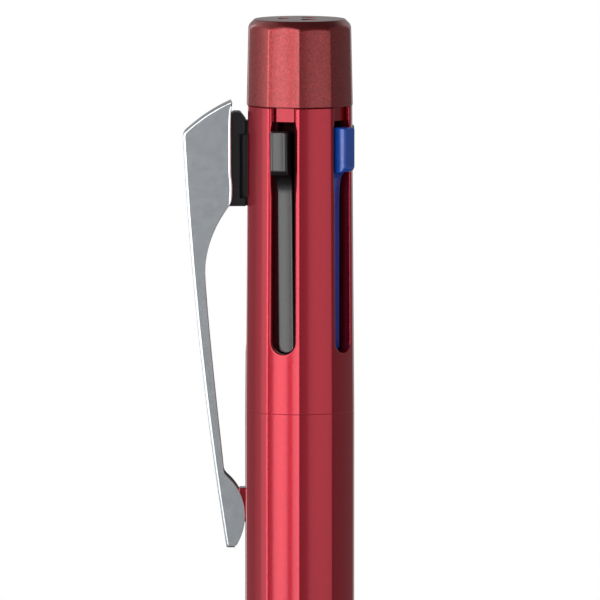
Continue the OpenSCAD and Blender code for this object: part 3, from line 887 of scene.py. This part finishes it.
def coil(azimuth):
    """One unbroken round wire with closed ends, from the spring seat to a slider's collar."""
    steps, sides, closed_turns = 20, 8, 1.5
    lead = SPRING_WIRE * 1.02
    height = Z_SPRING_TOP - Z_SEAT_TOP - SPRING_WIRE
    rows = []
    for i in range(SPRING_TURNS * steps + 1):
        n = i / steps
        if n < closed_turns:
            z = lead * n
        elif n > SPRING_TURNS - closed_turns:
            z = height - lead * (SPRING_TURNS - n)
        else:
            share = (n - closed_turns) / (SPRING_TURNS - 2 * closed_turns)
            z = lead * closed_turns + share * (height - 2 * lead * closed_turns)
        a = 2 * math.pi * i / steps
        row = []
        for k in range(sides):
            b = 2 * math.pi * k / sides
            r = SPRING_R + SPRING_WIRE / 2 * math.cos(b)
            h = Z_SEAT_TOP + SPRING_WIRE / 2 + z + SPRING_WIRE / 2 * math.sin(b)
            row.append(around(azimuth, RING_R + r * math.cos(a), r * math.sin(a), h))
        rows.append(row)
    shell = Shell()
    shell.block(rows)
    return shell


# Materials

COAT_IOR = 1.36
SKIN_DEPTHS = (0.001, 0.0004, 0.0003)
GRAIN_HEIGHT = 0.00002


def set_sockets(node, values):
    """Sets a shader node's constants."""
    for socket, value in values.items():
        node.inputs[socket].default_value = value


def material(name, colour, metallic=0.0, roughness=0.4, coat=0.0, coat_roughness=0.1,
             grain=0.0, grain_scale=9000, tone=0.12, tone_scale=900, rough_span=0.06,
             stretch=(1, 1, 1), ior=1.5, sheen=0.0, subsurface=0.0):
    """A surface whose colour, roughness and relief vary at the scale of the real finish."""
    made = bpy.data.materials.new(name)
    made.use_nodes = True
    tree = made.node_tree
    nodes, links = tree.nodes, tree.links
    shader = nodes["Principled BSDF"]
    set_sockets(shader, {
        "Metallic": metallic, "IOR": ior, "Sheen Weight": sheen,
        "Coat Weight": coat, "Coat Roughness": coat_roughness, "Coat IOR": COAT_IOR,
        "Subsurface Weight": subsurface, "Subsurface Radius": SKIN_DEPTHS,
    })
    place = nodes.new("ShaderNodeTexCoord")
    spread = nodes.new("ShaderNodeMapping")
    set_sockets(spread, {"Scale": stretch})
    links.new(place.outputs["Object"], spread.inputs["Vector"])

    def noise(scale, detail):
        texture = nodes.new("ShaderNodeTexNoise")
        set_sockets(texture, {"Scale": scale, "Detail": detail})
        links.new(spread.outputs["Vector"], texture.inputs["Vector"])
        return texture.outputs["Fac"]

    ramp = nodes.new("ShaderNodeValToRGB")
    ends = ramp.color_ramp.elements
    for end, position, share in ((ends[0], 0.3, 1 - tone), (ends[1], 0.7, 1 + tone)):
        end.position = position
        end.color = (*[min(c * share, 1) for c in colour], 1)
    links.new(noise(tone_scale, 4), ramp.inputs["Fac"])
    links.new(ramp.outputs["Color"], shader.inputs["Base Color"])
    fine = noise(grain_scale, 2)
    span = nodes.new("ShaderNodeMapRange")
    set_sockets(span, {"To Min": roughness - rough_span, "To Max": roughness + rough_span})
    links.new(fine, span.inputs["Value"])
    links.new(span.outputs["Result"], shader.inputs["Roughness"])
    if grain:
        relief = nodes.new("ShaderNodeBump")
        set_sockets(relief, {"Strength": grain, "Distance": GRAIN_HEIGHT})
        links.new(fine, relief.inputs["Height"])
        links.new(relief.outputs["Normal"], shader.inputs["Normal"])
    return made


# One finish for each material slot of the record
LOOKS = {
    "barrel_red": material(
        "red_lacquer", (0.36, 0.006, 0.021), metallic=0.8, roughness=0.22, coat=1.0,
        grain=0.08, grain_scale=11000, tone=0.08, tone_scale=6000, rough_span=0.03,
    ),
    "crown_red": material(
        "crown_plastic", (0.27, 0.027, 0.029), metallic=0.9, roughness=0.31, coat=1.0,
        coat_roughness=0.2, grain=0.3, tone=0.32, tone_scale=4500,
    ),
    "grip_rubber": material(
        "grip_rubber", (0.27, 0.035, 0.042), roughness=0.62, grain=0.5, grain_scale=6000,
        tone=0.15, tone_scale=1200, sheen=0.15,
    ),
    "clip_steel": material(
        "satin_steel", (0.6, 0.637, 0.672), metallic=1.0, roughness=0.2, grain=0.04,
        grain_scale=5000, tone=0.06, rough_span=0.02,
    ),
    "nose_metal": material(
        "turned_metal", (0.66, 0.66, 0.67), metallic=1.0, roughness=0.32, grain=0.08,
        grain_scale=4000, tone=0.05, tone_scale=1500, stretch=(0.1, 0.1, 1),
    ),
    "spring_steel": material("spring_wire", (0.55, 0.55, 0.56), metallic=1.0, roughness=0.3, grain=0.1),
    "brass": material("brass", (0.62, 0.43, 0.16), metallic=1.0, roughness=0.3, grain=0.1, tone=0.1),
    "tip_metal": material("tip_metal", (0.58, 0.56, 0.52), metallic=1.0, roughness=0.26, grain=0.1),
    "black_plastic": material(
        "black_plastic", (0.004, 0.0043, 0.005), roughness=0.2, tone=0.2, ior=1.62,
    ),
    "blue_plastic": material("blue_plastic", (0.005, 0.055, 0.31), roughness=0.12, tone=0.1, ior=1.64),
    "natural_plastic": material(
        "natural_plastic", (0.72, 0.73, 0.71), roughness=0.34, grain=0.15, tone=0.06,
        subsurface=0.2,
    ),
    "eraser_rubber": material(
        "eraser_rubber", (0.78, 0.77, 0.73), roughness=0.75, grain=0.6, grain_scale=5000,
        tone=0.07,
    ),
    "graphite": material(
        "graphite", (0.06, 0.06, 0.065), metallic=0.5, roughness=0.4, grain=0.3, tone=0.2,
    ),
}
FAR_PLASTICS = {"green_plastic": (0.008, 0.17, 0.07), "red_plastic": (0.52, 0.016, 0.02)}
for name, colour in FAR_PLASTICS.items():
    LOOKS[name] = material(name, colour, roughness=0.2, grain=0.1, tone=0.1)
INKS = {
    "black_ink": (0.02, 0.02, 0.022), "blue_ink": (0.01, 0.03, 0.24),
    "green_ink": (0.01, 0.13, 0.06), "red_ink": (0.42, 0.015, 0.02),
}
for name, colour in INKS.items():
    LOOKS[name] = material(name, colour, roughness=0.22, tone=0.3, tone_scale=300)

# Pieces that differ from the finish of their slot
BASE_PLASTIC = material(
    "base_plastic", (0.004, 0.0035, 0.0045), roughness=0.35, grain=0.1, tone=0.2, ior=1.33,
)
# The slider guide's dark plastic, made nearly black and barely reflecting: partly its own colour,
# partly painted shade inside the slots
CORE_PLASTIC_PAINTED_SHADE = material(
    "core_plastic_painted_shade", (0.03, 0.003, 0.005), roughness=0.6, grain=0.2, tone=0.2, ior=1.15,
)
# A darker copy of the barrel's red lacquer for the stop ring: painted shade where the ring sits
# recessed at the top of the slots
RING_LACQUER_PAINTED_SHADE = material(
    "ring_lacquer_painted_shade", (0.30, 0.006, 0.018), metallic=0.8, roughness=0.3, coat=0.8, tone=0.08,
)
# A dark steel: the clip pin's raw steel, and painted shade on the clip's inner skin
RAW_STEEL_AND_PAINTED_SHADE = material(
    "raw_steel_and_painted_shade", (0.07, 0.068, 0.07), metallic=1.0, roughness=0.45, grain=0.1, tone=0.2,
)
OTHER_LOOKS = {
    "clip_base": BASE_PLASTIC, "slider_guide": CORE_PLASTIC_PAINTED_SHADE,
    "stop_ring": RING_LACQUER_PAINTED_SHADE, "clip_pin": RAW_STEEL_AND_PAINTED_SHADE,
}


# Pieces


def finish_of(node):
    """The finish of a CAD node: its slot's, or its own where it differs."""
    return OTHER_LOOKS.get(node) or LOOKS[SLOTS[node]]


def piece(name, shell, body, node, sharp=40):
    """Makes a shell's object, which stands for a CAD node and rides on its body."""
    made = bpy.data.objects.new(name, shell.mesh(name, sharp))
    bpy.context.scene.collection.objects.link(made)
    made.data.materials.append(finish_of(node))
    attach(made, body)
    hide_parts(node)
    return made


piece("barrel_shell", barrel(), "barrel", "rear_barrel", sharp=35)
piece("crown_cap", crown(), "crown", "crown", sharp=50)
# The black slider tilts a little in its slot, and the blue one stands higher
TILTS = {"black": -0.0098}
LIFTS = {"black": -0.08, "blue": 0.2}
for colour, azimuth in SLIDERS.items():
    shell = slider(azimuth, TILTS.get(colour, 0), LIFTS.get(colour, 0))
    piece(colour + "_slider_knob", shell, colour + "_pen", colour + "_slider", sharp=35)
piece("clip_block", clip_base(), "pencil", "clip_base", sharp=50)
piece("collar_sleeve", front_barrel(), "front", "front_barrel")
piece("ribbed_grip", grip(), "front", "grip", sharp=50)
piece("nose_shell", nose_cone(), "front", "nose_cone", sharp=35)

lever_shell, lever_inside_painted_shade = clip()
lever = piece("clip_lever", lever_shell, "clip_arm", "clip", sharp=50)
# The clip's inner skin takes the dark steel: painted shade inside the channel
lever.data.materials.append(RAW_STEEL_AND_PAINTED_SHADE)
for i in lever_inside_painted_shade:
    lever.data.polygons[i].material_index = 1
# The barrel in the photograph doesn't show the clip, so it is left out of reflections
for hidden in (lever, NODES["clip_pin"], NODES["clip_spring"]):
    hidden.visible_glossy = False

# Each return spring is a coil of its own, listed with its slider's joint
COILS = [(colour, azimuth, colour + "_slide") for colour, azimuth in SLIDERS.items()]
COILS.append(("pencil", CLIP_AZIMUTH, "clip_slide"))
for unit, azimuth, joint in COILS:
    node = unit + "_return_spring"
    made = piece(node + "_coil", coil(azimuth), "barrel", node, sharp=60)
    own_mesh(made)

# CAD nodes whose shapes are right keep them, with finer edges and a finish
SOFT_EDGES = {
    "stop_ring": 0.1, "eraser": 0.25, "eraser_holder": 0.1,
    "spring_seat": 0.1, "slider_guide": 0.06, "clip_pin": 0.06,
}
for name, node in NODES.items():
    if node.hide_render:
        continue
    node.data.materials.clear()
    node.data.materials.append(finish_of(name))
    if name in SOFT_EDGES:
        soft = node.modifiers.new("edges", "BEVEL")
        soft.width = SOFT_EDGES[name] * MM
        soft.segments = 3
        soft.limit_method = "ANGLE"
        soft.angle_limit = math.radians(40)
        soft.harden_normals = True


# Stage, in metres

scene = bpy.context.scene
# The pen hovers over the floor, so that its points and its front half can move down
FLOOR_Z = -0.0115
FLOOR_R = 0.6
RING_STEPS = 64


def plain(name, colour):
    """A matt finish of one colour."""
    made = bpy.data.materials.new(name)
    made.use_nodes = True
    shader = made.node_tree.nodes["Principled BSDF"]
    set_sockets(shader, {"Base Color": (*colour, 1), "Roughness": 0.9})
    return made


def stage_mesh(name, points, faces, finish):
    mesh = bpy.data.meshes.new(name)
    mesh.from_pydata(points, [], faces)
    made = bpy.data.objects.new(name, mesh)
    scene.collection.objects.link(made)
    mesh.materials.append(finish)
    return made


def stage_ring(r, z):
    turns = [2 * math.pi * i / RING_STEPS for i in range(RING_STEPS)]
    return [(r * math.cos(a), r * math.sin(a), z) for a in turns]


def floor():
    """A pale round floor that fades into the background at its rim."""
    finish = plain("floor_paint", (0.86, 0.86, 0.86))
    nodes, links = finish.node_tree.nodes, finish.node_tree.links
    place = nodes.new("ShaderNodeTexCoord")
    length = nodes.new("ShaderNodeVectorMath")
    length.operation = "LENGTH"
    links.new(place.outputs["Object"], length.inputs[0])
    fade = nodes.new("ShaderNodeMapRange")
    fade.interpolation_type = "SMOOTHSTEP"
    set_sockets(fade, {"From Min": 0.12, "From Max": 0.55, "To Min": 1, "To Max": 0})
    links.new(length.outputs["Value"], fade.inputs["Value"])
    links.new(fade.outputs["Result"], nodes["Principled BSDF"].inputs["Alpha"])
    stage_mesh("floor", stage_ring(FLOOR_R, FLOOR_Z), [list(range(RING_STEPS))], finish)


floor()

# Grey cards stand round the pen, out of the camera's sight, so that its sides reflect them
CARD_R = 0.62
CARD_LOW, CARD_HIGH = -0.3, 0.62
FLOOR_CARD_R, FLOOR_CARD_Z = 0.25, FLOOR_Z + 0.0005


def grey_card(name, points, faces, grey):
    """A glowing card that only reflections show."""
    finish = plain(name + "_grey", (0, 0, 0))
    shader = finish.node_tree.nodes["Principled BSDF"]
    set_sockets(shader, {"Emission Color": (grey, grey, grey, 1), "Emission Strength": 1})
    made = stage_mesh(name, points, faces, finish)
    made.visible_camera = False
    made.visible_shadow = False
    made.visible_diffuse = False
    made.visible_transmission = False


def card(name, a0, a1, grey, low=CARD_LOW, high=CARD_HIGH):
    """An upright card between two azimuths, which are counted from the viewer."""
    points, faces = [], []
    steps = 12
    for i in range(steps + 1):
        a = math.radians(a0 + (a1 - a0) * i / steps)
        x, y = CARD_R * math.sin(a), -CARD_R * math.cos(a)
        points += [(x, y, low), (x, y, high)]
    for i in range(steps):
        faces.append((2 * i, 2 * i + 2, 2 * i + 3, 2 * i + 1))
    grey_card(name, points, faces, grey)


def ring_card(name, low_r, high_r, z, grey):
    """A level card between two radii."""
    points, faces = [], []
    for near, far in zip(stage_ring(low_r, z), stage_ring(high_r, z)):
        points += [near, far]
    for i in range(RING_STEPS):
        j = (i + 1) % RING_STEPS
        faces.append((2 * i, 2 * i + 1, 2 * j + 1, 2 * j))
    grey_card(name, points, faces, grey)


card("card_front", -90, 5, 0.3)
card("card_front_right", 5, 58, 0.38, high=0.3)
card("card_front_right_high", 5, 58, 0.12, low=0.3)
card("card_right", 58, 130, 0.24)
card("card_back_right", 130, 172, 0.34)
card("card_back", 172, 198, 0.3)
card("card_back_left", 198, 270, 0.3)
ring_card("card_above", 0, CARD_R, CARD_HIGH, 0.08)
ring_card("card_below", 0, FLOOR_CARD_R, FLOOR_CARD_Z, 0.06)
ring_card("card_floor", FLOOR_CARD_R, CARD_R, FLOOR_CARD_Z, 0.3)

# Soft boxes round the pen: azimuth from the viewer, rise and width in degrees, then height
# and radiance
STRIPS = {
    "front_left": (-38.5, 0, 14, 1.1, 3.1),
    "front": (-18.2, 0, 16.4, 1.1, 3.1),
    "left": (-64, 0, 12, 0.6, 5),
    "left_mid": (-81, 0, 18, 0.6, 1.7),
    "left_fill": (-94.5, 0, 9, 0.6, 1.1),
    "left_low": (-103.5, 0, 9, 0.6, 0.25),
    "front_right": (40, 0, 24, 0.3, 0.8),
    "back": (-139, 0, 20, 0.6, 1.4),
    "back_right": (143, 0, 14, 0.6, 0.5),
    "high_left": (-90, 48, 80, 0.3, 0.4),
}
STRIP_DISTANCE = 0.5
STRIP_CENTRE = Vector((0, 0, 0.1))


def strip(name, azimuth, rise, width, height, radiance):
    """A soft box that faces the pen."""
    across = 2 * STRIP_DISTANCE * math.tan(math.radians(width / 2))
    lamp = bpy.data.lights.new(name, "AREA")
    lamp.shape = "RECTANGLE"
    lamp.size = across
    lamp.size_y = height
    lamp.energy = radiance * math.pi * across * height
    made = bpy.data.objects.new(name, lamp)
    scene.collection.objects.link(made)
    a, e = math.radians(azimuth), math.radians(rise)
    out = Vector((math.cos(e) * math.sin(a), -math.cos(e) * math.cos(a), math.sin(e)))
    made.location = STRIP_CENTRE + out * STRIP_DISTANCE
    made.rotation_euler = (-out).to_track_quat("-Z", "Y").to_euler()
    made.visible_camera = False


for name, values in STRIPS.items():
    strip(name + "_strip", *values)

# The world lights the pen with a soft grey, and is white to the camera and in reflections
world = bpy.data.worlds.new("studio")
scene.world = world
world.use_nodes = True
nodes, links = world.node_tree.nodes, world.node_tree.links
sky = nodes["Background"]
set_sockets(sky, {"Color": (1, 1, 1, 1), "Strength": 0.4})
white = nodes.new("ShaderNodeBackground")
set_sockets(white, {"Color": (1, 1, 1, 1), "Strength": 1.0})
path = nodes.new("ShaderNodeLightPath")
seen = path.outputs["Is Camera Ray"]
for ray in ("Is Glossy Ray", "Is Transmission Ray"):
    either = nodes.new("ShaderNodeMath")
    either.operation = "MAXIMUM"
    links.new(seen, either.inputs[0])
    links.new(path.outputs[ray], either.inputs[1])
    seen = either.outputs["Value"]
blend = nodes.new("ShaderNodeMixShader")
links.new(seen, blend.inputs["Fac"])
links.new(sky.outputs["Background"], blend.inputs[1])
links.new(white.outputs["Background"], blend.inputs[2])
links.new(blend.outputs["Shader"], nodes["World Output"].inputs["Surface"])

scene.view_settings.view_transform = "Standard"

# The camera stands in front of the pen and a little above it, as the photograph's did
CAMERA_DISTANCE = 1.3
CAMERA_RISE = math.radians(5.3)
IMAGE_WIDTH = 68.97 * MM
SENSOR_WIDTH = 36
AIM = Vector((0.03, 0, 115.6)) * MM
lens = bpy.data.cameras.new("camera")
lens.sensor_width = SENSOR_WIDTH
lens.lens = SENSOR_WIDTH * CAMERA_DISTANCE / IMAGE_WIDTH
lens.clip_start = 0.1
lens.clip_end = 50
camera = bpy.data.objects.new("camera", lens)
scene.collection.objects.link(camera)
back = Vector((0, -math.cos(CAMERA_RISE), math.sin(CAMERA_RISE)))
camera.location = AIM + back * CAMERA_DISTANCE
camera.rotation_euler = (-back).to_track_quat("-Z", "Y").to_euler()
scene.camera = camera
